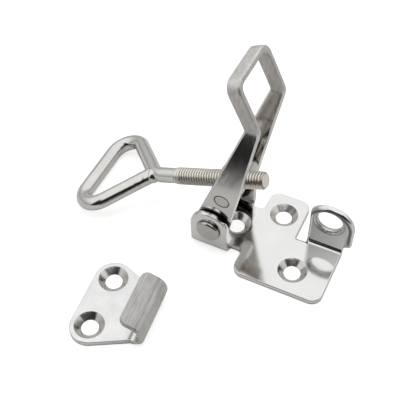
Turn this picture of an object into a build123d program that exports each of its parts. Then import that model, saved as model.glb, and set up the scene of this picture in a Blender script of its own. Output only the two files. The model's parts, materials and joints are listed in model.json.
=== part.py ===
from build123d import *
import os
from math import acos, asin, cos, radians, sin

# Over-centre toggle latch with a padlock tab, an adjustable wire loop and its hook plate.
# Millimetres. The origin is the middle of the screw hole between the ears, on the mounting
# face; +X runs from the pivot to the padlock tab, +Z away from the surface it is screwed to.
# The handle stands open, and the wire loop lies on that surface behind it.

# ---- sheet, screws and fits ----
sheet = 2.0                # thickness of the base and of the hook plate
screw_hole_d = 5.6
countersink_d = 9.8
countersink_angle = 100
running_gap = 0.05         # radial, at each turning pin
side_gap = 0.1             # beside each arm

# ---- base plate ----
plate_left = 6.1
plate_right = 36.8
plate_front = -18.8        # y of the long edge below the padlock tab
plate_corner_r = 3.8
lobe_top = 18.6            # y of the screw lobe's end
lobe_right = 20.5
lobe_corner_r = 3.5
neck_notch_r = 1.6
lobe_notch_r = 1.0
screw_spots = [(0, 0), (13.4, 10.1), (24.5, -10.1)]

# ---- ears ----
ear_outside = 25.0         # over both ears
ear_half_length = 6.6
ear_round_z = 11.2         # centre of the rounded top
ear_bend_r = 1.1           # inside radius
ear_foot_r = 1.5
floor_short = 1.3          # the floor ends this far inside the ears' left ends

# ---- padlock tab ----
tab_face = 3.25            # y of its front face, clear of the rod
tab_bend_r = 1.1           # inside radius
tab_left = 24.2
tab_head_x = 31.0
tab_head_z = 12.9
tab_head_r = 8.3
tab_undercut_z = 5.2
tab_shoulder_r = 2.5
tab_notch_r = 1.5
tab_coin_r = 1.2           # rounding of the front edge
eye_x = 30.8
eye_z = 14.5
eye_d = 8.4
eye_lead = 1.1             # bevel of its front edge

# ---- pivot ----
pivot_x = -4.7
pivot_z = 10.4
pivot_d = 5.0
rivet_head_d = 8.2
rivet_head_h = 1.3
rivet_bevel = 0.45

# ---- handle, one strip folded into a bail ----
strip = 2.1
handle_angle = 75.2        # of the arms, from +X
arm_length = 50.4          # pivot to kink
arm_heel_r = 6.0
strip_width = 4.5          # at the kink and above it
finger_angle = 114.7       # of the upper strips, from +X
finger_length = 15.5       # kink to the middle of the crossbar
kink_front_r = 7.0
kink_back_r = 2.5
bail_bend_r = 1.9          # inside radius beside the crossbar

# ---- trunnion ----
trunnion_reach = 14.6      # from the pivot, along the arm
barrel_d = 9.0
journal_d = 4.9
journal_bevel = 0.15

# ---- pull rod ----
wire_d = 5.3
thread_d = 5.9
thread_free = 11.3         # trunnion to the free end
thread_back = 23.4         # trunnion to the end of the thread
thread_bevel = 0.6
loop_start = 32.1          # trunnion to where the shank bends into the loop
loop_reach = 57.5          # trunnion to the far side of the loop
loop_half_width = 24.8     # to the sharp corners, before they are bent round
loop_corner_r = 6.3
shank_bend_r = 8.0
weld_reach = 33.4          # trunnion to where the wire's end is welded back on

# ---- hook plate ----
hook_x = -26.1
hook_y = -46.9
hook_turn = 5.41
hook_hole_pitch = 18.2
hook_lobe_r = 6.4
tongue_half_width = 9.9
tongue_run = 14.1          # from the holes to the start of the curl
hook_seat_r = 2.86         # inside radius of the curl
hook_rise = 0.93
hook_turn_back = 160       # from lying flat to the lip
lip_length = 4.7
lip_corner_r = 2.5

# ---- worked out ----
ear_half = ear_outside / 2
ear_left = pivot_x - ear_half_length
ear_right = pivot_x + ear_half_length
ear_top_z = ear_round_z + ear_half_length
neck_half_width = ear_half - sheet - ear_bend_r
arm_outer = ear_half - sheet - side_gap
arm_inner = arm_outer - strip
plate_edge = tab_face - tab_bend_r
arm_dir = Vector(cos(radians(handle_angle)), 0, sin(radians(handle_angle)))
pivot_point = Vector(pivot_x, 0, pivot_z)
kink_point = pivot_point + arm_dir * arm_length
trunnion_point = pivot_point + arm_dir * trunnion_reach
# The far side of the loop rests on the surface that the base stands on.
rod_slope = asin((trunnion_point.Z - wire_d / 2) / loop_reach)
rod_dir = Vector(-cos(rod_slope), 0, -sin(rod_slope))
rod_plane = Plane(trunnion_point, x_dir=rod_dir, z_dir=(sin(rod_slope), 0, -cos(rod_slope)))
rod_section = Plane(trunnion_point, x_dir=(0, 1, 0), z_dir=rod_dir)
handle_side = Plane(pivot_point, x_dir=arm_dir, z_dir=(0, -1, 0))
finger_across = Vector(sin(radians(finger_angle)), 0, -cos(radians(finger_angle)))
bail_plane = Plane(kink_point, x_dir=(0, 1, 0), z_dir=finger_across)

os.makedirs("parts", exist_ok=True)

# ---- base_plate: one blank with two ears bent up and the padlock tab bent up beside them ----
with BuildPart() as base_plate:
    # Channel of floor and ears, cut to the ears' side outline.
    with BuildSketch(Plane.YZ.offset(ear_left)) as channel:
        with Locations((0, ear_top_z / 2)):
            Rectangle(ear_outside, ear_top_z)
        fillet(channel.vertices().group_by(Axis.Y)[0], ear_bend_r + sheet)
        with BuildSketch(mode=Mode.PRIVATE) as inside:
            with Locations((0, sheet + ear_top_z / 2)):
                Rectangle(ear_outside - 2 * sheet, ear_top_z)
            fillet(inside.vertices().group_by(Axis.Y)[0], ear_bend_r)
        add(inside.sketch, mode=Mode.SUBTRACT)
    extrude(amount=ear_right - ear_left)
    with BuildSketch(Plane.XZ) as ear_side:
        with Locations((pivot_x, 0)):
            Rectangle(2 * ear_half_length, ear_round_z, align=(Align.CENTER, Align.MIN))
        fillet(ear_side.vertices().group_by(Axis.Y)[0].sort_by(Axis.X)[0], ear_foot_r)
        with Locations((pivot_x, ear_round_z)):
            Circle(ear_half_length)
    extrude(amount=ear_half, both=True, mode=Mode.INTERSECT)
    # The floor between the ears stops short of their ends.
    with BuildSketch(Plane.XY) as floor_end:
        with Locations((ear_left, 0)):
            Rectangle(floor_short, 2 * neck_half_width, align=(Align.MIN, Align.CENTER))
    extrude(amount=sheet, mode=Mode.SUBTRACT)
    # Upright of the tab: a stem and a round head that overhangs it on one side.
    with BuildSketch(Plane.XZ.offset(-tab_face)) as tab:
        with Locations((tab_head_x, tab_head_z)):
            Circle(tab_head_r)
        with Locations((tab_head_x + tab_head_r, tab_undercut_z)):
            Rectangle(tab_head_r, tab_head_z - tab_undercut_z, align=(Align.MAX, Align.MIN))
        with Locations((tab_left, sheet + tab_bend_r)):
            Rectangle(
                plate_right - tab_left,
                tab_head_z - sheet - tab_bend_r,
                align=(Align.MIN, Align.MIN),
            )
        with Locations((tab_left, 0)):
            Rectangle(
                2 * (tab_head_r + plate_right - tab_left),
                2 * (tab_head_z + tab_head_r),
                align=(Align.MIN, Align.CENTER),
                mode=Mode.INTERSECT,
            )
        fillet(tab.vertices().group_by(Axis.X)[0].sort_by(Axis.Y)[-1], tab_shoulder_r)
        fillet(tab.vertices().sort_by_distance((plate_right, tab_undercut_z))[0], tab_notch_r)
        with Locations((eye_x, eye_z)):
            Circle(eye_d / 2, mode=Mode.SUBTRACT)
    extrude(amount=-sheet)
    tab_front = base_plate.faces(Select.LAST).filter_by(Axis.Y).sort_by(Axis.Y)[0]
    chamfer(tab_front.inner_wires().edges(), eye_lead)
    tab_front = base_plate.faces().filter_by(Axis.Y).filter_by_position(Axis.Y, tab_face, tab_face)[0]
    head_top = (tab_head_x, tab_face, tab_head_z + tab_head_r)
    head_side = (tab_head_x + tab_head_r, tab_face, (tab_undercut_z + tab_head_z) / 2)
    rim = [tab_front.edges().sort_by_distance(spot)[0] for spot in (head_top, head_side)]
    fillet(rim, tab_coin_r)
    # Bend of the tab.
    tab_foot = base_plate.faces().filter_by_position(Axis.X, tab_left, plate_right).sort_by(Axis.Z)[0]
    bend_axis = Axis((0, plate_edge, sheet + tab_bend_r), (1, 0, 0))
    revolve(tab_foot, axis=bend_axis, revolution_arc=-90)
    # Flat blank.
    with BuildSketch(Plane.XY) as blank:
        with BuildLine():
            FilletPolyline(
                (pivot_x, -neck_half_width),
                (plate_left, -neck_half_width),
                (plate_left, plate_front),
                (plate_right, plate_front),
                (plate_right, plate_edge),
                (lobe_right, plate_edge),
                (lobe_right, lobe_top),
                (plate_left, lobe_top),
                (plate_left, neck_half_width),
                (pivot_x, neck_half_width),
                radius=[
                    0,
                    neck_notch_r,
                    plate_corner_r,
                    plate_corner_r,
                    0,
                    lobe_notch_r,
                    lobe_corner_r,
                    lobe_corner_r,
                    neck_notch_r,
                    0,
                ],
                close=True,
            )
        make_face()
    extrude(amount=sheet)
    # Screw holes and rivet holes.
    with Locations(*[(x, y, sheet) for x, y in screw_spots]):
        CounterSinkHole(screw_hole_d / 2, countersink_d / 2, counter_sink_angle=countersink_angle)
    with BuildSketch(Plane.XZ):
        with Locations((pivot_x, pivot_z)):
            Circle(pivot_d / 2)
    extrude(amount=ear_half, both=True, mode=Mode.SUBTRACT)
base_plate.part.label = "base_plate"
export_step(base_plate.part, "parts/base_plate.step")

# ---- pivot_rivets: a short headed stud through each ear, leaving the middle free for the rod ----
with BuildPart() as pivot_rivets:
    with BuildSketch(Plane(pivot_point, x_dir=(0, 1, 0), z_dir=(1, 0, 0))):
        with BuildLine():
            Polyline(
                (arm_inner, 0),
                (arm_inner, pivot_d / 2),
                (ear_half, pivot_d / 2),
                (ear_half, rivet_head_d / 2),
                (ear_half + rivet_head_h - rivet_bevel, rivet_head_d / 2),
                (ear_half + rivet_head_h, rivet_head_d / 2 - rivet_bevel),
                (ear_half + rivet_head_h, 0),
                close=True,
            )
        make_face()
    revolve(axis=Axis(pivot_point, (0, 1, 0)))
    mirror(about=Plane.XZ)
pivot_rivets.part.label = "pivot_rivets"
export_step(pivot_rivets.part, "parts/pivot_rivets.step")

# ---- handle: two tapered arms, kinked in their own plane, joined by a crossbar ----
kink_turn = radians(finger_angle - handle_angle)
# The arms taper from the round heel, and their edges are tangent to it.
heel_turn = acos((arm_heel_r - strip_width / 2) / arm_length)
heel_back = Vector(cos(heel_turn), sin(heel_turn)) * arm_heel_r
heel_front = Vector(cos(heel_turn), -sin(heel_turn)) * arm_heel_r
kink_at = Vector(arm_length, 0)
mitre = Vector(-sin(kink_turn / 2), cos(kink_turn / 2)) * (strip_width / 2 / cos(kink_turn / 2))
tip_at = kink_at + Vector(cos(kink_turn), sin(kink_turn)) * (finger_length + strip / 2)
tip_half = Vector(-sin(kink_turn), cos(kink_turn)) * (strip_width / 2)
reach = arm_length + finger_length

with BuildPart() as handle:
    with BuildSketch(handle_side):
        with BuildLine():
            FilletPolyline(
                heel_back,
                kink_at + mitre,
                tip_at + tip_half,
                tip_at - tip_half,
                kink_at - mitre,
                heel_front,
                radius=[0, kink_back_r, 0, 0, kink_front_r, 0],
                close=True,
            )
        make_face()
        Circle(arm_heel_r)
    extrude(amount=arm_outer, both=True)
    # Outside of the bail, then its inside.
    with BuildSketch(bail_plane) as bail_outside:
        with Locations((0, finger_length + strip / 2)):
            Rectangle(2 * arm_outer, 2 * reach, align=(Align.CENTER, Align.MAX))
        fillet(bail_outside.vertices().group_by(Axis.Y)[-1], bail_bend_r + strip)
    extrude(amount=reach, both=True, mode=Mode.INTERSECT)
    with BuildSketch(bail_plane) as bail_inside:
        with Locations((0, finger_length - strip / 2)):
            Rectangle(2 * arm_inner, 2 * reach, align=(Align.CENTER, Align.MAX))
        fillet(bail_inside.vertices().group_by(Axis.Y)[-1], bail_bend_r)
    extrude(amount=reach, both=True, mode=Mode.SUBTRACT)
    with BuildSketch(handle_side):
        Circle(pivot_d / 2 + running_gap)
        with Locations((trunnion_reach, 0)):
            Circle(journal_d / 2 + running_gap)
    extrude(amount=ear_outside, both=True, mode=Mode.SUBTRACT)
handle.part.label = "handle"
export_step(handle.part, "parts/handle.step")

# ---- trunnion: a cross-drilled barrel whose ends are riveted in the arms ----
with BuildPart() as trunnion:
    with BuildSketch(Plane(trunnion_point, x_dir=(1, 0, 0), z_dir=(0, -1, 0))):
        Circle(barrel_d / 2)
    extrude(amount=arm_inner - side_gap, both=True)
    with BuildSketch(Plane(trunnion_point, x_dir=(1, 0, 0), z_dir=(0, -1, 0))):
        Circle(journal_d / 2)
    extrude(amount=arm_outer, both=True)
    chamfer(trunnion.edges().group_by(Axis.Y)[0], journal_bevel)
    chamfer(trunnion.edges().group_by(Axis.Y)[-1], journal_bevel)
    with BuildSketch(rod_section):
        Circle(thread_d / 2 + running_gap)
    extrude(amount=barrel_d, both=True, mode=Mode.SUBTRACT)
trunnion.part.label = "trunnion"
export_step(trunnion.part, "parts/trunnion.step")

# ---- pull_rod: a threaded shank whose wire is bent into a triangle and welded back on ----
with BuildPart() as pull_rod:
    with BuildLine(rod_plane) as far_leg:
        FilletPolyline(
            (thread_back - thread_d, 0),
            (loop_start, 0),
            (loop_reach, loop_half_width),
            (loop_reach, 0),
            radius=[shank_bend_r, loop_corner_r],
        )
    with BuildSketch(Plane(far_leg.line @ 0, z_dir=far_leg.line % 0)):
        Circle(wire_d / 2)
    sweep()
    with BuildLine(rod_plane) as near_leg:
        FilletPolyline(
            (loop_reach, 0),
            (loop_reach, -loop_half_width),
            (weld_reach, 0),
            radius=[loop_corner_r],
        )
    with BuildSketch(Plane(near_leg.line @ 0, z_dir=near_leg.line % 0)):
        Circle(wire_d / 2)
    sweep()
    with BuildSketch(rod_section.offset(-thread_free)):
        Circle(thread_d / 2)
    extrude(amount=thread_free + thread_back)
    thread_ends = pull_rod.edges().filter_by(GeomType.CIRCLE)
    thread_ends = thread_ends.filter_by(lambda e: abs(e.radius - thread_d / 2) < 0.01)
    chamfer(thread_ends.sort_by(Axis.X)[-1], thread_bevel)
pull_rod.part.label = "pull_rod"
export_step(pull_rod.part, "parts/pull_rod.step")

# ---- strike_plate: two screw lobes and a tongue curled back into a hook ----
hook_plane = Plane((hook_x, hook_y, 0), x_dir=(cos(radians(hook_turn)), sin(radians(hook_turn)), 0))
hook_side = Plane(hook_plane.origin, x_dir=hook_plane.x_dir, z_dir=-hook_plane.y_dir)
curl_r = hook_seat_r + sheet / 2
curl_z = hook_seat_r + sheet
lip_turn = radians(hook_turn_back - 90)
lip_start = Vector(tongue_run + curl_r * cos(lip_turn), curl_z + hook_rise + curl_r * sin(lip_turn))
lip_end = lip_start + Vector(-sin(lip_turn), cos(lip_turn)) * lip_length

with BuildPart() as strike_plate:
    with BuildSketch(hook_plane):
        with GridLocations(0, hook_hole_pitch, 1, 2):
            Circle(hook_lobe_r)
        with Locations((tongue_run, 0)):
            Rectangle(tongue_run, 2 * tongue_half_width, align=(Align.MAX, Align.CENTER))
        make_hull()
    extrude(amount=sheet)
    with BuildSketch(hook_side):
        with BuildLine():
            Line((tongue_run - sheet, sheet / 2), (tongue_run, sheet / 2))
            CenterArc((tongue_run, curl_z), curl_r, -90, 90)
            Line((tongue_run + curl_r, curl_z), (tongue_run + curl_r, curl_z + hook_rise))
            CenterArc((tongue_run, curl_z + hook_rise), curl_r, 0, hook_turn_back - 90)
            Line(lip_start, lip_end)
        trace(line_width=sheet)
    extrude(amount=tongue_half_width, both=True)
    lip_tip = hook_side.from_local_coords(lip_end)
    for side in (-1, 1):
        corner = lip_tip + hook_plane.y_dir * (side * tongue_half_width)
        across = strike_plate.edges().filter_by(lambda e: abs(e.length - sheet) < 0.01)
        fillet(across.sort_by_distance(corner)[0], lip_corner_r)
    with Locations(hook_plane.offset(sheet)):
        with GridLocations(0, hook_hole_pitch, 1, 2):
            CounterSinkHole(
                screw_hole_d / 2,
                countersink_d / 2,
                counter_sink_angle=countersink_angle,
            )
strike_plate.part.label = "strike_plate"
export_step(strike_plate.part, "parts/strike_plate.step")
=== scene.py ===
"""Looks for an over-centre toggle latch and its hook plate. Metres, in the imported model's frame."""

import json
import math

import bpy
from mathutils import Matrix, Vector


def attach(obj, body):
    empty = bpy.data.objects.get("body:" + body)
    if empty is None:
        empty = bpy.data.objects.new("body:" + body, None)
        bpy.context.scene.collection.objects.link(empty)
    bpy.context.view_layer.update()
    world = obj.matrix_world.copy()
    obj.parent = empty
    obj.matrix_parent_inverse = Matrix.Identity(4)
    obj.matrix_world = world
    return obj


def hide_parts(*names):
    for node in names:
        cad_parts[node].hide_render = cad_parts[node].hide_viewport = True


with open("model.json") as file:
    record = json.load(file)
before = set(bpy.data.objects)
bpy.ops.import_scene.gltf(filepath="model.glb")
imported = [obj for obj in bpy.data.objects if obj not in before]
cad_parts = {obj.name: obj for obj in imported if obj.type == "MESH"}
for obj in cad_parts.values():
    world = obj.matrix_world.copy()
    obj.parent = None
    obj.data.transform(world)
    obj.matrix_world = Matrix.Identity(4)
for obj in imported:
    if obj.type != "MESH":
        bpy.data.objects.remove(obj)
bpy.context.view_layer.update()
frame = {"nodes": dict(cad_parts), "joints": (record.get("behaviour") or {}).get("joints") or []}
nodes = frame["nodes"]
joints = {joint["name"]: joint for joint in frame["joints"]}

MM = 0.001
SCENE = bpy.context.scene
ALONG_Y = Vector((0, 1, 0))
ALONG_Z = Vector((0, 0, 1))

# ---- places and sizes on the solids that the looks follow ----
PIVOT = Vector(joints["handle_pivot"]["pos_m"])
HUB = Vector(joints["trunnion_swivel"]["pos_m"])
FREE_WAY = Vector(joints["rod_adjust"]["axis"]).normalized()  # along the rod, to its free end
SHEET = 2.0 * MM
SINK_R = 4.9 * MM
PLATE_HOLES = [Vector(spot) * MM for spot in ((0, 0), (13.4, 10.1), (24.5, -10.1))]
EAR_TOP = Vector((-4.7, 0, 11.2)) * MM  # centre of the ears' rounded tops
EAR_R = 6.6 * MM
TAB_HEAD = Vector((31.0, 0, 12.9)) * MM
TAB_FLAT_R = 7.25 * MM  # about where the head's rounded edge starts
TAB_FRONT = 4.2 * MM  # the tab's front face and rounded edge lie before this y
EYE = Vector((30.8, 4.35, 14.5)) * MM  # level with the inner end of its bevel
EYE_RIM_R = 5.35 * MM  # about the outer end of its bevel
ARM_INNER = 8.3 * MM  # y of the arms' inner sides
JOURNAL_R = 2.5 * MM  # of the gap round the riveted journals
KINK_Z = 59.1 * MM
HOOK_TURN = math.radians(5.41)
HOOK_ACROSS = Vector((math.cos(HOOK_TURN), math.sin(HOOK_TURN), 0))
HOOK_CENTRE = Vector((-26.1, -46.9)) * MM
HOOK_HOLES = [HOOK_CENTRE + Matrix.Rotation(HOOK_TURN, 2) @ Vector((0, side * 9.1 * MM)) for side in (-1, 1)]
FOLD_AT = 16.5 * MM  # from the hook's holes to the line past which its lip is round

# ---- pull rod, as its solid is but for a loop that is a hair narrower, to stay inside the CAD box ----
WIRE_R = 2.65 * MM
THREAD_R = 2.95 * MM
THREAD_DEPTH = 0.5 * MM
THREAD_PITCH = 1.0 * MM
THREAD_FREE = 11.3 * MM
THREAD_BACK = 23.4 * MM
THREAD_BEVEL = 0.6 * MM
THREAD_RUNOUT = 1.6 * MM
THREAD_FLANK = (0.12, 0.84)  # shares of half a pitch: the crest ends, the root starts
THREAD_OVERLAP = 2.5 * MM  # how far the plain wire reaches into the thread
LOOP_START = 32.1 * MM
LOOP_REACH = 57.5 * MM
LOOP_HALF_WIDTH = 24.77 * MM
LOOP_CORNER_R = 6.3 * MM
SHANK_BEND_R = 8.0 * MM

# ---- weld between the wire's end and the shank ----
WELD_REACH = 33.4 * MM  # where the wire's axis ends
WELD_AT = (33.2 * MM, -0.6 * MM)  # middle of the blob, along the rod and across it
WELD_HALF = (3.5 * MM, 2.6 * MM, 2.61 * MM)  # half its size along, across and up
BEAD_HEIGHT = 0.06 * MM
BEADS_FADE = (9 * MM, 5 * MM)  # from the wire's end: no beads farther off, full ones nearer
BEAD_STEP = 0.4 * MM

# ---- mesh steps ----
ROUND_SIDES = 48
WELD_ROWS = 24
ROWS_PER_PITCH = 12
END_RING = 0.3 * MM  # a ring this near the wire's start keeps its flat end's shading off the rest


# ---------------------------------------------------------------- node helpers
class Nodes:
    """A node tree with short calls for the nodes that repeat."""

    def __init__(self, tree):
        self.tree = tree

    def node(self, kind, **settings):
        made = self.tree.nodes.new(kind)
        for key, value in settings.items():
            setattr(made, key, value)
        return made

    def link(self, source, target):
        self.tree.links.new(source, target)

    def put(self, value, socket):
        """Links an output socket, or sets a plain value. A colour is given as three numbers."""
        if isinstance(value, bpy.types.NodeSocket):
            self.link(value, socket)
        elif socket.type == "RGBA":
            socket.default_value = (*value, 1.0)
        else:
            socket.default_value = value

    def math(self, operation, first, second=0.0, clamp=False):
        made = self.node("ShaderNodeMath", operation=operation, use_clamp=clamp)
        self.put(first, made.inputs[0])
        self.put(second, made.inputs[1])
        return made.outputs[0]

    def product(self, first, *others):
        for other in others:
            first = self.math("MULTIPLY", first, other)
        return first

    def vector(self, operation, first, second=None):
        made = self.node("ShaderNodeVectorMath", operation=operation)
        self.put(first, made.inputs[0])
        if second is not None:
            self.put(second, made.inputs[1])
        return made.outputs["Value" if operation in ("LENGTH", "DOT_PRODUCT") else "Vector"]

    def axis(self, vector, name):
        made = self.node("ShaderNodeSeparateXYZ")
        self.link(vector, made.inputs[0])
        return made.outputs[name]


class Shader(Nodes):
    """A material's node tree."""

    def __init__(self, name):
        self.material = bpy.data.materials.new(name)
        self.material.use_nodes = True
        super().__init__(self.material.node_tree)
        self.tree.nodes.clear()
        self.output = self.node("ShaderNodeOutputMaterial")

    def coordinates(self):
        return self.node("ShaderNodeTexCoord").outputs["Object"]

    def ramp(self, value, low, high, low_to=0.0, high_to=1.0):
        """Smooth step of a value between two limits."""
        made = self.node("ShaderNodeMapRange", interpolation_type="SMOOTHSTEP")
        self.put(value, made.inputs["Value"])
        made.inputs["From Min"].default_value = low
        made.inputs["From Max"].default_value = high
        made.inputs["To Min"].default_value = low_to
        made.inputs["To Max"].default_value = high_to
        return made.outputs["Result"]

    def line(self, distance, half, fade, strength=1.0):
        """A soft line where the distance is 0: full up to half, gone at fade."""
        return self.ramp(self.math("ABSOLUTE", distance), half, fade, strength, 0.0)

    def mix(self, factor, first, second, data_type="RGBA", blend_type="MIX"):
        made = self.node("ShaderNodeMix", data_type=data_type, blend_type=blend_type)
        self.put(factor, made.inputs["Factor"])
        self.put(first, made.inputs["A"])
        self.put(second, made.inputs["B"])
        return made.outputs["Result"]

    def blend(self, factor, first, second):
        """Mixes two plain numbers."""
        return self.mix(factor, first, second, "FLOAT")

    def noise(self, vector, scale, detail, roughness=0.5):
        made = self.node("ShaderNodeTexNoise")
        self.link(vector, made.inputs["Vector"])
        made.inputs["Scale"].default_value = scale
        made.inputs["Detail"].default_value = detail
        made.inputs["Roughness"].default_value = roughness
        return made.outputs["Fac"]

    def grain(self, vector, size, turn=0.0, roughness=0.6):
        """Noise whose spots have a size in millimetres along x, y and z, turned about z."""
        made = self.node("ShaderNodeMapping", vector_type="TEXTURE")
        self.link(vector, made.inputs["Vector"])
        made.inputs["Scale"].default_value = [length * MM for length in size]
        made.inputs["Rotation"].default_value = (0, 0, turn)
        return self.noise(made.outputs["Vector"], scale=1.0, detail=4.0, roughness=roughness)

    def from_line(self, vector, centre, along):
        """Distance from the line through centre that runs along a unit vector."""
        away = self.vector("SUBTRACT", vector, centre)
        return self.vector("LENGTH", self.vector("CROSS_PRODUCT", away, along))

    def bump(self, height, distance):
        made = self.node("ShaderNodeBump")
        self.link(height, made.inputs["Height"])
        made.inputs["Distance"].default_value = distance
        return made.outputs["Normal"]


CREVICE_REACH = 1.6 * MM
CREVICE_RANGE = (0.42, 0.78)  # openness of a point: painted shade below, unshaded steel above
BLOTCH_SCALE = 120.0
TONE_RANGE = (0.3, 0.7)
GLOSS_RANGE = (0.25, 0.75)
GRAIN_HEIGHT = 0.4e-6
SINK_GLOSS = (0.15, 0.26)
SINK_TINT = (0.80, 0.78, 0.76)
TAB_LINES = 0.85  # strength of the painted dark reflections on the tab


class Steel(Shader):
    """Stainless steel: a fine directional grain over slow blotches of tone and gloss.

    light and dark bound the colour, smooth and rough the roughness. grain is the size of the grain along x, y
    and z in millimetres. blotch is the share of the blotches in the tone. shade is the colour of the painted
    shade that an ambient occlusion node puts in narrow gaps and corners."""

    def __init__(
        self,
        name,
        light,
        dark,
        smooth,
        rough,
        grain,
        grain_turn=0.0,
        blotch=0.5,
        shade=(0.13, 0.12, 0.11),
    ):
        super().__init__(name)
        self.place = self.coordinates()
        self.fine = self.grain(self.place, grain, grain_turn)
        slow = self.noise(self.place, BLOTCH_SCALE, detail=2.0)
        tone = self.math("ADD", self.product(slow, blotch), self.product(self.fine, 1.0 - blotch))
        # Painted shade: where the ambient occlusion finds a narrow gap or corner, the colour turns towards
        # shade.
        crevice = self.node("ShaderNodeAmbientOcclusion", samples=8)
        crevice.inputs["Distance"].default_value = CREVICE_REACH
        openness = self.ramp(crevice.outputs["AO"], *CREVICE_RANGE)
        unshaded = self.mix(self.ramp(tone, *TONE_RANGE), dark, light)
        self.body = self.node("ShaderNodeBsdfPrincipled")
        self.body.inputs["Metallic"].default_value = 1.0
        self.link(self.mix(openness, shade, unshaded), self.body.inputs["Base Color"])
        self.link(self.ramp(self.fine, *GLOSS_RANGE, smooth, rough), self.body.inputs["Roughness"])
        self.link(self.bump(self.fine, GRAIN_HEIGHT), self.body.inputs["Normal"])
        self.link(self.body.outputs["BSDF"], self.output.inputs["Surface"])

    def along(self, name):
        """The X, Y or Z of each point."""
        return self.axis(self.place, name)

    def satin(self, mask, smooth, rough):
        """Roughens the steel where the mask is 1."""
        socket = self.body.inputs["Roughness"]
        polished = socket.links[0].from_socket
        self.link(self.blend(mask, polished, self.ramp(self.fine, *GLOSS_RANGE, smooth, rough)), socket)

    def tint(self, mask, colour):
        """Multiplies the steel's colour where the mask is 1."""
        socket = self.body.inputs["Base Color"]
        plain = socket.links[0].from_socket
        self.link(self.mix(mask, plain, colour, blend_type="MULTIPLY"), socket)

    def dull_sinks(self, spots):
        """Makes the countersinks round the given spots duller than the flat faces."""
        mask = 0.0
        for x, y in spots:
            away = self.from_line(self.place, (x, y, 0), ALONG_Z)
            mask = self.math("ADD", mask, self.math("LESS_THAN", away, SINK_R))
        mask = self.product(mask, self.math("LESS_THAN", self.along("Z"), SHEET * 0.99))
        self.satin(mask, *SINK_GLOSS)
        self.tint(mask, SINK_TINT)


def dress(piece, shader):
    piece.data.materials.clear()
    piece.data.materials.append(shader.material)


# ---------------------------------------------------------------- materials
plate_steel = Steel(
    "polished_plate",
    light=(0.86, 0.855, 0.84),
    dark=(0.80, 0.795, 0.78),
    smooth=0.08,
    rough=0.13,
    grain=(6.0, 0.12, 0.12),
)
rivet_steel = Steel(
    "polished_rivet",
    light=(0.62, 0.61, 0.58),
    dark=(0.50, 0.49, 0.46),
    smooth=0.12,
    rough=0.2,
    grain=(0.4, 0.4, 0.4),
)
trunnion_steel = Steel(
    "turned_barrel",
    light=(0.72, 0.71, 0.69),
    dark=(0.60, 0.59, 0.57),
    smooth=0.16,
    rough=0.28,
    grain=(0.1, 4.0, 0.1),
)
wire_steel = Steel(
    "drawn_wire",
    light=(0.80, 0.79, 0.76),
    dark=(0.70, 0.69, 0.66),
    smooth=0.10,
    rough=0.20,
    grain=(3.0, 0.2, 1.2),
)
thread_steel = Steel(
    "rolled_thread",
    light=(0.97, 0.94, 0.88),
    dark=(0.84, 0.81, 0.75),
    smooth=0.18,
    rough=0.3,
    grain=(0.3, 0.3, 0.3),
    shade=(0.62, 0.59, 0.54),
)
handle_steel = Steel(
    "folded_strip",
    light=(0.78, 0.77, 0.75),
    dark=(0.70, 0.69, 0.67),
    smooth=0.08,
    rough=0.14,
    grain=(0.5, 0.5, 4.0),
)
hook_steel = Steel(
    "hook_sheet",
    light=(0.88, 0.875, 0.865),
    dark=(0.74, 0.735, 0.725),
    smooth=0.10,
    rough=0.20,
    grain=(0.35, 2.0, 0.35),
    grain_turn=HOOK_TURN,
    blotch=0.75,
)

plate_steel.dull_sinks(PLATE_HOLES)
hook_steel.dull_sinks(HOOK_HOLES)

# The handle is polished up to its kink, and satin and a little uneven above it.
s = handle_steel
above_kink = s.ramp(s.along("Z"), KINK_Z - 1.2 * MM, KINK_Z + 1.0 * MM)
s.satin(above_kink, smooth=0.40, rough=0.52)
uneven = s.ramp(s.grain(s.place, (0.9, 0.9, 3), roughness=0.65), *TONE_RANGE)
s.tint(above_kink, s.mix(uneven, (0.84, 0.83, 0.81), (1.04, 1.03, 1.02)))

# Painted shade darkens the arms round the ears, in the narrow gap, and their inner sides towards the pivot.
gap_shade = s.product(
    s.ramp(s.from_line(s.place, EAR_TOP, ALONG_Y), EAR_R + 0.9 * MM, EAR_R + 1.7 * MM, 1.0, 0.0),
    s.ramp(s.along("X"), EAR_TOP.x - 5.5 * MM, EAR_TOP.x - 1.5 * MM),
)
s.tint(gap_shade, (0.07, 0.06, 0.055))
# Painted shade on the arms' inner sides, darker towards the pivot.
inner_side = s.product(
    s.math("LESS_THAN", s.math("ABSOLUTE", s.along("Y")), ARM_INNER + 0.02 * MM),
    s.ramp(s.along("Z"), 34 * MM, 50 * MM, 1.0, 0.0),
)
s.tint(inner_side, (0.66, 0.64, 0.61))

# The riveted journals have a dark ring round their ends.
for s in (handle_steel, trunnion_steel):
    off_ring = s.math("SUBTRACT", s.from_line(s.place, HUB, ALONG_Y), JOURNAL_R)
    s.tint(s.line(off_ring, half=0.12 * MM, fade=0.34 * MM), (0.34, 0.31, 0.26))

# The tab's head is duller than the plate, and the eye's rim is matt.
s = plate_steel
head = s.product(s.ramp(s.along("Z"), 5 * MM, 8 * MM), s.ramp(s.along("X"), 18 * MM, 20 * MM))
s.satin(head, smooth=0.13, rough=0.20)
from_eye = s.from_line(s.place, EYE, ALONG_Y)
eye_rim = s.product(head, s.ramp(from_eye, EYE_RIM_R + 0.15 * MM, EYE_RIM_R - 0.25 * MM))
s.satin(eye_rim, smooth=0.38, rough=0.48)
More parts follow.
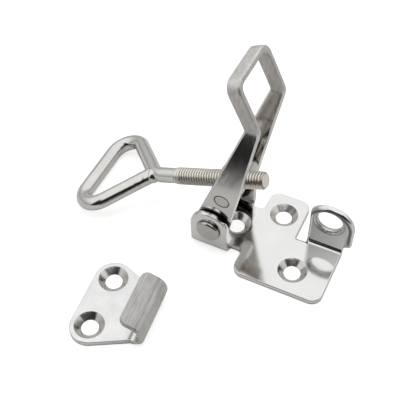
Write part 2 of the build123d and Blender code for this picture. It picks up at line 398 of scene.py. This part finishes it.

# Painted dark reflections: lines on the tab's front, where the eye's bevel and the head's rounded edge start.
off_rim = s.math("SUBTRACT", from_eye, EYE_RIM_R)
eye_line = s.line(off_rim, half=0.08 * MM, fade=0.30 * MM, strength=0.6)
beside = s.math("SUBTRACT", s.along("X"), TAB_HEAD.x)
over = s.math("MAXIMUM", s.math("SUBTRACT", s.along("Z"), TAB_HEAD.z), 0.0)
squared = s.math("ADD", s.product(beside, beside), s.product(over, over))
off_edge = s.math("SUBTRACT", s.math("POWER", squared, 0.5), TAB_FLAT_R)
edge_line = s.line(off_edge, half=0.25 * MM, fade=0.7 * MM)
in_front = s.math("LESS_THAN", s.along("Y"), TAB_FRONT)
lines = s.product(s.math("MAXIMUM", eye_line, edge_line), head, in_front, TAB_LINES)
s.tint(lines, (0.13, 0.125, 0.12))

# The hook's lip is matt, with coarse streaks along its bend, a fold line and a lighter round part past it.
s = hook_steel
lip = s.ramp(s.along("Z"), 2.2 * MM, 2.8 * MM)
streaks = s.ramp(s.grain(s.place, (0.35, 5, 0.35), HOOK_TURN, roughness=0.7), 0.32, 0.68)
s.tint(lip, s.mix(streaks, (0.56, 0.55, 0.54), (0.81, 0.80, 0.78)))
s.satin(lip, smooth=0.42, rough=0.55)
across_hook = s.vector("DOT_PRODUCT", s.place, HOOK_ACROSS)
past_fold = s.math("SUBTRACT", across_hook, HOOK_CENTRE.dot(HOOK_ACROSS.to_2d()) + FOLD_AT)
s.tint(s.product(lip, s.line(past_fold, half=0.1 * MM, fade=0.45 * MM)), (0.80, 0.79, 0.78))
s.tint(s.product(lip, s.ramp(past_fold, 0.3 * MM, 0.8 * MM)), (1.2, 1.2, 1.2))

# Painted shade darkens the thread's grooves. Its end face, nearer to the axis, is not darkened.
s = thread_steel
off_axis = s.from_line(s.place, HUB, FREE_WAY)
groove = s.product(
    s.ramp(off_axis, THREAD_R - 0.42 * MM, THREAD_R - 0.15 * MM, 1.0, 0.0),
    s.ramp(off_axis, 2.1 * MM, 2.3 * MM),
)
s.tint(groove, (0.52, 0.49, 0.45))

dress(nodes["base_plate"], plate_steel)
dress(nodes["pivot_rivets"], rivet_steel)
dress(nodes["handle"], handle_steel)
dress(nodes["trunnion"], trunnion_steel)
dress(nodes["strike_plate"], hook_steel)


# ---------------------------------------------------------------- rounded edges
SQUARE_EDGE = math.radians(56)
BLUNT_EDGE = math.radians(28)
UNDERSIDE = 0.3 * MM  # edges below this height are rounded finely
LEVEL = 0.3 * MM  # how far off round_place's centre an edge may lie
FLAT_ANGLE = math.radians(0.4)
MERGE_WITHIN = 0.002 * MM


class Shape(Nodes):
    """A geometry node group that a modifier uses."""

    def __init__(self, name):
        super().__init__(bpy.data.node_groups.new(name, "GeometryNodeTree"))
        for way in ("INPUT", "OUTPUT"):
            self.tree.interface.new_socket("Geometry", in_out=way, socket_type="NodeSocketGeometry")
        self.place = self.node("GeometryNodeInputPosition").outputs["Position"]

    def through(self, step):
        """Sends the geometry through one node and returns the group."""
        self.link(self.node("NodeGroupInput").outputs[0], step.inputs["Geometry"])
        self.link(step.outputs["Geometry"], self.node("NodeGroupOutput").inputs[0])
        return self.tree


def edge_weights(name, full, fine, fine_places, round_place):
    """Weighs edges for rounding: full on square ones, fine on blunt ones and in fine places.

    fine_places is a list of (centre, along, radius): the edges nearer than radius to that line. round_place is
    one more such line, and the edges near it and level with its centre get a weight of 1."""
    g = Shape(name)
    angle = g.node("GeometryNodeInputMeshEdgeAngle").outputs["Unsigned Angle"]

    def beyond(centre, along, radius):
        flat = g.vector("MULTIPLY", g.vector("SUBTRACT", g.place, centre), Vector((1, 1, 1)) - along)
        return g.math("GREATER_THAN", g.vector("LENGTH", flat), radius)

    square = g.product(
        g.math("GREATER_THAN", angle, SQUARE_EDGE),
        g.math("GREATER_THAN", g.axis(g.place, "Z"), UNDERSIDE),
        *[beyond(*line) for line in fine_places],
    )
    weight = g.math("ADD", g.product(square, full - fine), fine)
    if round_place:
        near = g.math("SUBTRACT", 1.0, beyond(*round_place))
        deep = g.math("ABSOLUTE", g.math("SUBTRACT", g.axis(g.place, "Y"), round_place[0].y))
        weight = g.math("MAXIMUM", weight, g.product(near, g.math("LESS_THAN", deep, LEVEL)))
    store = g.node("GeometryNodeStoreNamedAttribute", data_type="FLOAT", domain="EDGE")
    store.inputs["Name"].default_value = "bevel_weight_edge"
    g.link(g.product(weight, g.math("GREATER_THAN", angle, BLUNT_EDGE)), store.inputs["Value"])
    return g.through(store)


def kept_inside(name, low, high):
    """Keeps every point inside a box."""
    g = Shape(name)
    move = g.node("GeometryNodeSetPosition")
    g.link(g.vector("MINIMUM", g.vector("MAXIMUM", g.place, low), high), move.inputs["Position"])
    return g.through(move)


def round_edges(piece, width, fine, fine_places=(), round_place=None, round_width=0.0, segments=3):
    """Rounds a CAD node's edges with modifiers, leaving its mesh alone. The widths are in metres."""
    widest = max(width, round_width)
    weld = piece.modifiers.new("weld", "WELD")
    weld.merge_threshold = MERGE_WITHIN
    flat = piece.modifiers.new("flat", "DECIMATE")
    flat.decimate_type = "DISSOLVE"
    flat.angle_limit = FLAT_ANGLE
    weigh = piece.modifiers.new("weights", "NODES")
    weigh.node_group = edge_weights(
        piece.name + "_edges", width / widest, fine / widest, fine_places, round_place
    )
    bevel = piece.modifiers.new("edges", "BEVEL")
    bevel.width = widest
    bevel.segments = segments
    bevel.limit_method = "WEIGHT"
    bevel.use_clamp_overlap = False
    bevel.loop_slide = False
    bevel.miter_outer = "MITER_ARC"
    corners = [vertex.co for vertex in piece.data.vertices]
    low, high = ([limit(corner[axis] for corner in corners) for axis in range(3)] for limit in (min, max))
    inside = piece.modifiers.new("inside", "NODES")
    inside.node_group = kept_inside(piece.name + "_box", low, high)
    normals = piece.modifiers.new("normals", "WEIGHTED_NORMAL")
    normals.keep_sharp = False
    normals.weight = 100
    for face in piece.data.polygons:
        face.use_smooth = True


# A countersink leaves a straight land of 0.24 mm, so its edges and the underside are rounded by less than
# half of that.
round_edges(
    nodes["base_plate"],
    width=0.36 * MM,
    fine=0.10 * MM,
    fine_places=[(PIVOT, ALONG_Y, 3 * MM)],
    round_place=(EYE, ALONG_Y, 5.6 * MM),
    round_width=0.72 * MM,
)
round_edges(nodes["strike_plate"], width=0.36 * MM, fine=0.10 * MM)
round_edges(
    nodes["handle"],
    width=0.7 * MM,
    fine=0.07 * MM,
    fine_places=[(HUB, ALONG_Y, 3.2 * MM), (PIVOT, ALONG_Y, 3 * MM)],
    segments=4,
)
round_edges(nodes["pivot_rivets"], width=0.14 * MM, fine=0.14 * MM)
round_edges(nodes["trunnion"], width=0.06 * MM, fine=0.06 * MM)


# ---------------------------------------------------------------- pull rod with its thread
BACK_WAY = -FREE_WAY
UP_WAY = FREE_WAY.cross(ALONG_Y)


def add_mesh(name, points, faces):
    mesh = bpy.data.meshes.new(name)
    mesh.from_pydata([tuple(point) for point in points], [], faces)
    mesh.update()
    piece = bpy.data.objects.new(name, mesh)
    SCENE.collection.objects.link(piece)
    return piece


def smooth_step(value, low, high):
    t = min(max((value - low) / (high - low), 0.0), 1.0)
    return t * t * (3 - 2 * t)


def on_rod(along, across):
    """A point from its distances behind the trunnion's axis and beside the rod's."""
    return HUB + BACK_WAY * along + ALONG_Y * across


def ring(centre, side, radius):
    """Points round a centre, in the plane of side and up. radius is a function of the angle."""
    angles = [2 * math.pi * k / ROUND_SIDES for k in range(ROUND_SIDES)]
    return [centre + (side * math.cos(a) + UP_WAY * math.sin(a)) * radius(a) for a in angles]


def lathe(name, rings, start, end, round_ends=False):
    """A closed piece from rings of points, with a fan of triangles at both ends."""
    pairs = [(i, (i + 1) % ROUND_SIDES) for i in range(ROUND_SIDES)]
    count = len(rings) * ROUND_SIDES
    last = count - ROUND_SIDES
    faces = []
    for a in range(0, last, ROUND_SIDES):
        b = a + ROUND_SIDES
        faces += [(a + i, a + j, b + j, b + i) for i, j in pairs]
    for i, j in pairs:
        faces += [(count, j, i), (count + 1, last + i, last + j)]
    piece = add_mesh(name, [point for points in rings for point in points] + [start, end], faces)
    for face in piece.data.polygons:
        face.use_smooth = round_ends or len(face.vertices) == 4
    return piece


def bent_line(corners, radii, step=math.radians(5)):
    """Points along a polyline whose inner corners are bent round. Flat, in (along, across)."""
    points = [Vector(corners[0])]
    for before, corner, after, radius in zip(corners, corners[1:], corners[2:], radii):
        corner = Vector(corner)
        back = (Vector(before) - corner).normalized()
        ahead = (Vector(after) - corner).normalized()
        half = back.angle(ahead) / 2
        middle = corner + (back + ahead).normalized() * (radius / math.sin(half))
        start = corner + back * (radius / math.tan(half)) - middle
        turn = math.pi - 2 * half
        if start.y * back.x - start.x * back.y < 0:
            turn = -turn
        count = max(2, round(abs(turn) / step))
        for i in range(count + 1):
            points.append(middle + Matrix.Rotation(turn * i / count, 2) @ start)
    points.append(Vector(corners[-1]))
    return points


def make_weld():
    """The ground weld that fills the corners where the wire's end meets the shank."""
    middle = on_rod(*WELD_AT)
    along, across, up = (half * way for half, way in zip(WELD_HALF, (BACK_WAY, ALONG_Y, UP_WAY)))
    rings = []
    for r in range(1, WELD_ROWS):
        tilt = math.pi * r / WELD_ROWS
        points = []
        for k in range(ROUND_SIDES):
            a = 2 * math.pi * k / ROUND_SIDES
            uneven = 1 + 0.012 * math.sin(3 * a + 5 * tilt) + 0.010 * math.sin(5 * a - 3 * tilt)
            flat = along * math.cos(a) + across * math.sin(a)
            points.append(middle + (flat * math.sin(tilt) + up * math.cos(tilt)) * uneven)
        rings.append(points)
    return lathe("weld", rings, middle + up, middle - up, round_ends=True)


def bead_swell(reach, turn):
    """Uneven beads on the wire near its welded end, fading out along it."""
    beads = math.sin(reach / MM * 3.1 + 2 * math.sin(turn)) * math.sin(2 * turn + reach / MM * 0.9)
    return beads * smooth_step(reach, *BEADS_FADE) * BEAD_HEIGHT


def make_wire():
    """The wire from the thread round the loop to its weld, as one tube."""
    line = bent_line(
        [
            (THREAD_BACK - THREAD_OVERLAP, 0),
            (LOOP_START, 0),
            (LOOP_REACH, LOOP_HALF_WIDTH),
            (LOOP_REACH, -LOOP_HALF_WIDTH),
            (WELD_REACH, 0),
        ],
        [SHANK_BEND_R, LOOP_CORNER_R, LOOP_CORNER_R],
    )
    end = line[-1]
    back_along = (line[-2] - end).normalized()
    steps = round(BEADS_FADE[0] / BEAD_STEP)
    line[-1:] = [end + back_along * BEAD_STEP * i for i in range(steps, -1, -1)]
    line.insert(1, line[0] + Vector((END_RING, 0)))
    rings = []
    for i, here in enumerate(line):
        before = line[max(i - 1, 0)]
        after = line[min(i + 1, len(line) - 1)]
        way = (after - before).normalized()
        side = BACK_WAY * -way.y + ALONG_Y * way.x
        beaded = i >= len(line) - 1 - steps
        reach = (here - end).length if beaded else BEADS_FADE[0]
        rings.append(ring(on_rod(*here), side, lambda a: WIRE_R + bead_swell(reach, a)))
    return lathe("wire_loop", rings, on_rod(*line[0]), on_rod(*end))


def thread_radius(along, turn, length):
    """Radius of the thread at a distance from its free end: bevelled there, run out at the other end."""
    phase = (along / THREAD_PITCH + turn / (2 * math.pi)) % 1.0
    flank = abs(phase - 0.5) * 2
    radius = THREAD_R - THREAD_DEPTH * smooth_step(flank, *THREAD_FLANK)
    radius = min(radius, THREAD_R - THREAD_BEVEL + along)
    fade = min(max((length - along) / THREAD_RUNOUT, 0.0), 1.0)
    return WIRE_R + (radius - WIRE_R) * fade


def make_thread():
    """The rolled thread, a right-hand helix cut into the shank."""
    length = THREAD_FREE + THREAD_BACK
    steps = round(length / THREAD_PITCH * ROWS_PER_PITCH)
    rings = []
    for r in range(steps + 1):
        along = length * r / steps
        rings.append(ring(on_rod(along - THREAD_FREE, 0), ALONG_Y, lambda a: thread_radius(along, a, length)))
    return lathe("thread", rings, on_rod(-THREAD_FREE, 0), on_rod(THREAD_BACK, 0))


wire_loop = make_wire()
thread = make_thread()
weld = make_weld()
dress(wire_loop, wire_steel)
dress(weld, wire_steel)
dress(thread, thread_steel)
for piece in (wire_loop, thread, weld):
    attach(piece, "rod")
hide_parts("pull_rod")


# ---------------------------------------------------------------- stage
FLOOR_HALF = 2.0
FLOOR_DROP = 0.02 * MM  # keeps the floor off the solids' undersides
FLOOR_COLOUR = (0.62, 0.61, 0.60)
FLOOR_GLOW = 0.7  # for the camera, so that the floor is white
FLOOR_MIRRORED = 0.08  # for reflections
CARD_COLOUR = (0.985, 0.99, 1.0)
UNLIT = 0.02


def stage_sheet(name, xs, ys, z):
    (left, right), (front, rear) = xs, ys
    corners = [(left, front, z), (right, front, z), (right, rear, z), (left, rear, z)]
    sheet = add_mesh(name, corners, [(0, 1, 2, 3)])
    return sheet


def reflected_only(piece):
    """Makes a stage piece that glows and that only reflections see. Returns its shader and emission node."""
    piece.visible_camera = False
    piece.visible_diffuse = False
    piece.visible_shadow = False
    piece.visible_transmission = False
    shader = Shader(piece.name)
    emission = shader.node("ShaderNodeEmission")
    shader.put(CARD_COLOUR, emission.inputs["Color"])
    shader.link(emission.outputs[0], shader.output.inputs["Surface"])
    dress(piece, shader)
    return shader, emission


floor = stage_sheet("floor", (-FLOOR_HALF, FLOOR_HALF), (-FLOOR_HALF, FLOOR_HALF), 0)
floor.location.z = -FLOOR_DROP
s = Shader("white_floor")
paper = s.node("ShaderNodeBsdfDiffuse")
s.put(FLOOR_COLOUR, paper.inputs["Color"])
glow = s.node("ShaderNodeEmission")
s.put((1, 1, 1), glow.inputs["Color"])
path = s.node("ShaderNodeLightPath").outputs
mirrored = s.math("ADD", path["Is Glossy Ray"], path["Is Transmission Ray"], clamp=True)
seen = s.math("ADD", s.product(mirrored, FLOOR_MIRRORED), s.product(path["Is Camera Ray"], FLOOR_GLOW))
s.link(seen, glow.inputs["Strength"])
both = s.node("ShaderNodeAddShader")
s.link(paper.outputs[0], both.inputs[0])
s.link(glow.outputs[0], both.inputs[1])
s.link(both.outputs[0], s.output.inputs["Surface"])
dress(floor, s)

# ---- a round tent, which the polished steel mirrors ----
TENT_R = 0.5
TENT_TOP = 0.95
TENT_SIDES = 64
LEVEL_GLOW = 0.38  # at the floor, rising to 1 higher up
TOWARDS_CAMERA = (0.469, 0.883)  # to the right and to the front

angles = [2 * math.pi * i / TENT_SIDES for i in range(TENT_SIDES)]
tent = add_mesh(
    "tent",
    [(TENT_R * math.cos(a), TENT_R * math.sin(a), z) for z in (0, TENT_TOP) for a in angles],
    [(i, (i + 1) % TENT_SIDES, TENT_SIDES + (i + 1) % TENT_SIDES, TENT_SIDES + i) for i in range(TENT_SIDES)],
)
s, tent_glow = reflected_only(tent)
place = s.coordinates()
rise = s.math("DIVIDE", s.axis(place, "Z"), TENT_R)
ahead = s.math("DIVIDE", s.axis(place, "Y"), -TENT_R)
aside = s.math("DIVIDE", s.axis(place, "X"), TENT_R)
around_level = s.ramp(rise, 0.0, 0.75, LEVEL_GLOW, 1.0)
# The photographer's side is dark up to about 48 degrees, and fades out higher and more softly to the left.
facing = s.math("ADD", s.product(aside, TOWARDS_CAMERA[0]), s.product(ahead, TOWARDS_CAMERA[1]))
left_soft = s.ramp(s.math("ADD", rise, s.product(aside, 0.67)), 0.85, 1.73, 1.0, 0.0)
right_hard = s.ramp(rise, 0.98, 1.22, 1.0, 0.0)
low_enough = s.blend(s.ramp(aside, -0.15, 0.05), left_soft, right_hard)
dark = s.product(s.ramp(facing, 0.50, 0.64), low_enough)
s.link(s.blend(dark, around_level, UNLIT), tent_glow.inputs["Strength"])

# ---- a small dark flag between the latch and the hook plate, soft all round. It shows from above only ----
FLAG_X = (-26 * MM, 12 * MM)
FLAG_Y = (-56 * MM, -22 * MM)
FLAG_FULL_X = (-18 * MM, 6 * MM)  # inside its soft edges
FLAG_FULL_Y = (-50 * MM, -40 * MM)
FLAG_Z = 13 * MM

flag = stage_sheet("flag", FLAG_X, FLAG_Y, FLAG_Z)
s, flag_glow = reflected_only(flag)
flag_glow.inputs["Strength"].default_value = UNLIT
place = s.coordinates()
seen_below = s.node("ShaderNodeNewGeometry").outputs["Backfacing"]
shade = s.math("SUBTRACT", 1.0, seen_below)
for name, edges, full in (("X", FLAG_X, FLAG_FULL_X), ("Y", FLAG_Y, FLAG_FULL_Y)):
    for edge, inner in zip(edges, full):
        shade = s.product(shade, s.ramp(s.axis(place, name), edge, inner))
veil = s.node("ShaderNodeMixShader")
s.link(shade, veil.inputs["Fac"])
s.link(s.node("ShaderNodeBsdfTransparent").outputs[0], veil.inputs[1])
s.link(flag_glow.outputs[0], veil.inputs[2])
s.link(veil.outputs[0], s.output.inputs["Surface"])

# ---------------------------------------------------------------- world and lamps
SKY_FILL = 0.45  # the world's light; the camera and reflections see white instead

world = bpy.data.worlds.new("studio")
SCENE.world = world
world.use_nodes = True
w = Nodes(world.node_tree)
w.tree.nodes.clear()
path = w.node("ShaderNodeLightPath").outputs
seen = w.math("ADD", path["Is Camera Ray"], path["Is Glossy Ray"])
seen = w.math("ADD", seen, path["Is Transmission Ray"], clamp=True)
either = w.node("ShaderNodeMixShader")
w.link(seen, either.inputs["Fac"])
for slot, strength in ((1, SKY_FILL), (2, 1.0)):
    light = w.node("ShaderNodeBackground")
    w.put((1, 1, 1), light.inputs["Color"])
    light.inputs["Strength"].default_value = strength
    w.link(light.outputs[0], either.inputs[slot])
w.link(either.outputs[0], w.node("ShaderNodeOutputWorld").inputs["Surface"])


def softbox(name, spot, aim, size, watts):
    lamp = bpy.data.lights.new(name, "AREA")
    lamp.shape = "RECTANGLE"
    lamp.size, lamp.size_y = size
    lamp.energy = watts
    box = bpy.data.objects.new(name, lamp)
    box.location = spot
    box.rotation_euler = (Vector(aim) - Vector(spot)).to_track_quat("-Z", "Y").to_euler()
    box.visible_glossy = False
    SCENE.collection.objects.link(box)


softbox("overhead", spot=(-0.05, 0.10, 0.60), aim=(0, -0.01, 0), size=(0.5, 0.4), watts=1.6)
softbox("side_fill", spot=(-0.55, -0.15, 0.30), aim=(0, 0, 0.02), size=(0.3, 0.3), watts=0.5)

# ---------------------------------------------------------------- camera
VIEW_AZIMUTH = math.radians(26.5)
VIEW_ELEVATION = math.radians(51.5)
VIEW_ROLL = math.radians(-1.2)
VIEW_DISTANCE = 0.2743
VIEW_TARGET = Vector((-12.42, 3.05, 0)) * MM
VIEW_SENSOR = 36.0
VIEW_LENS = 67.5
VIEW_CLIP = (0.01, 10.0)

away = Vector(
    (
        math.sin(VIEW_AZIMUTH) * math.cos(VIEW_ELEVATION),
        -math.cos(VIEW_AZIMUTH) * math.cos(VIEW_ELEVATION),
        math.sin(VIEW_ELEVATION),
    )
)
right = Vector((math.cos(VIEW_AZIMUTH), math.sin(VIEW_AZIMUTH), 0))
upward = away.cross(right)
rolled_right = right * math.cos(VIEW_ROLL) + upward * math.sin(VIEW_ROLL)
rolled_up = upward * math.cos(VIEW_ROLL) - right * math.sin(VIEW_ROLL)
pose = Matrix((rolled_right, rolled_up, away)).transposed().to_4x4()
pose.translation = VIEW_TARGET + away * VIEW_DISTANCE
lens = bpy.data.cameras.new("camera")
lens.sensor_width = VIEW_SENSOR
lens.lens = VIEW_LENS
lens.clip_start, lens.clip_end = VIEW_CLIP
camera = bpy.data.objects.new("camera", lens)
camera.matrix_world = pose
SCENE.collection.objects.link(camera)
SCENE.camera = camera
SCENE.view_settings.view_transform = "Standard"
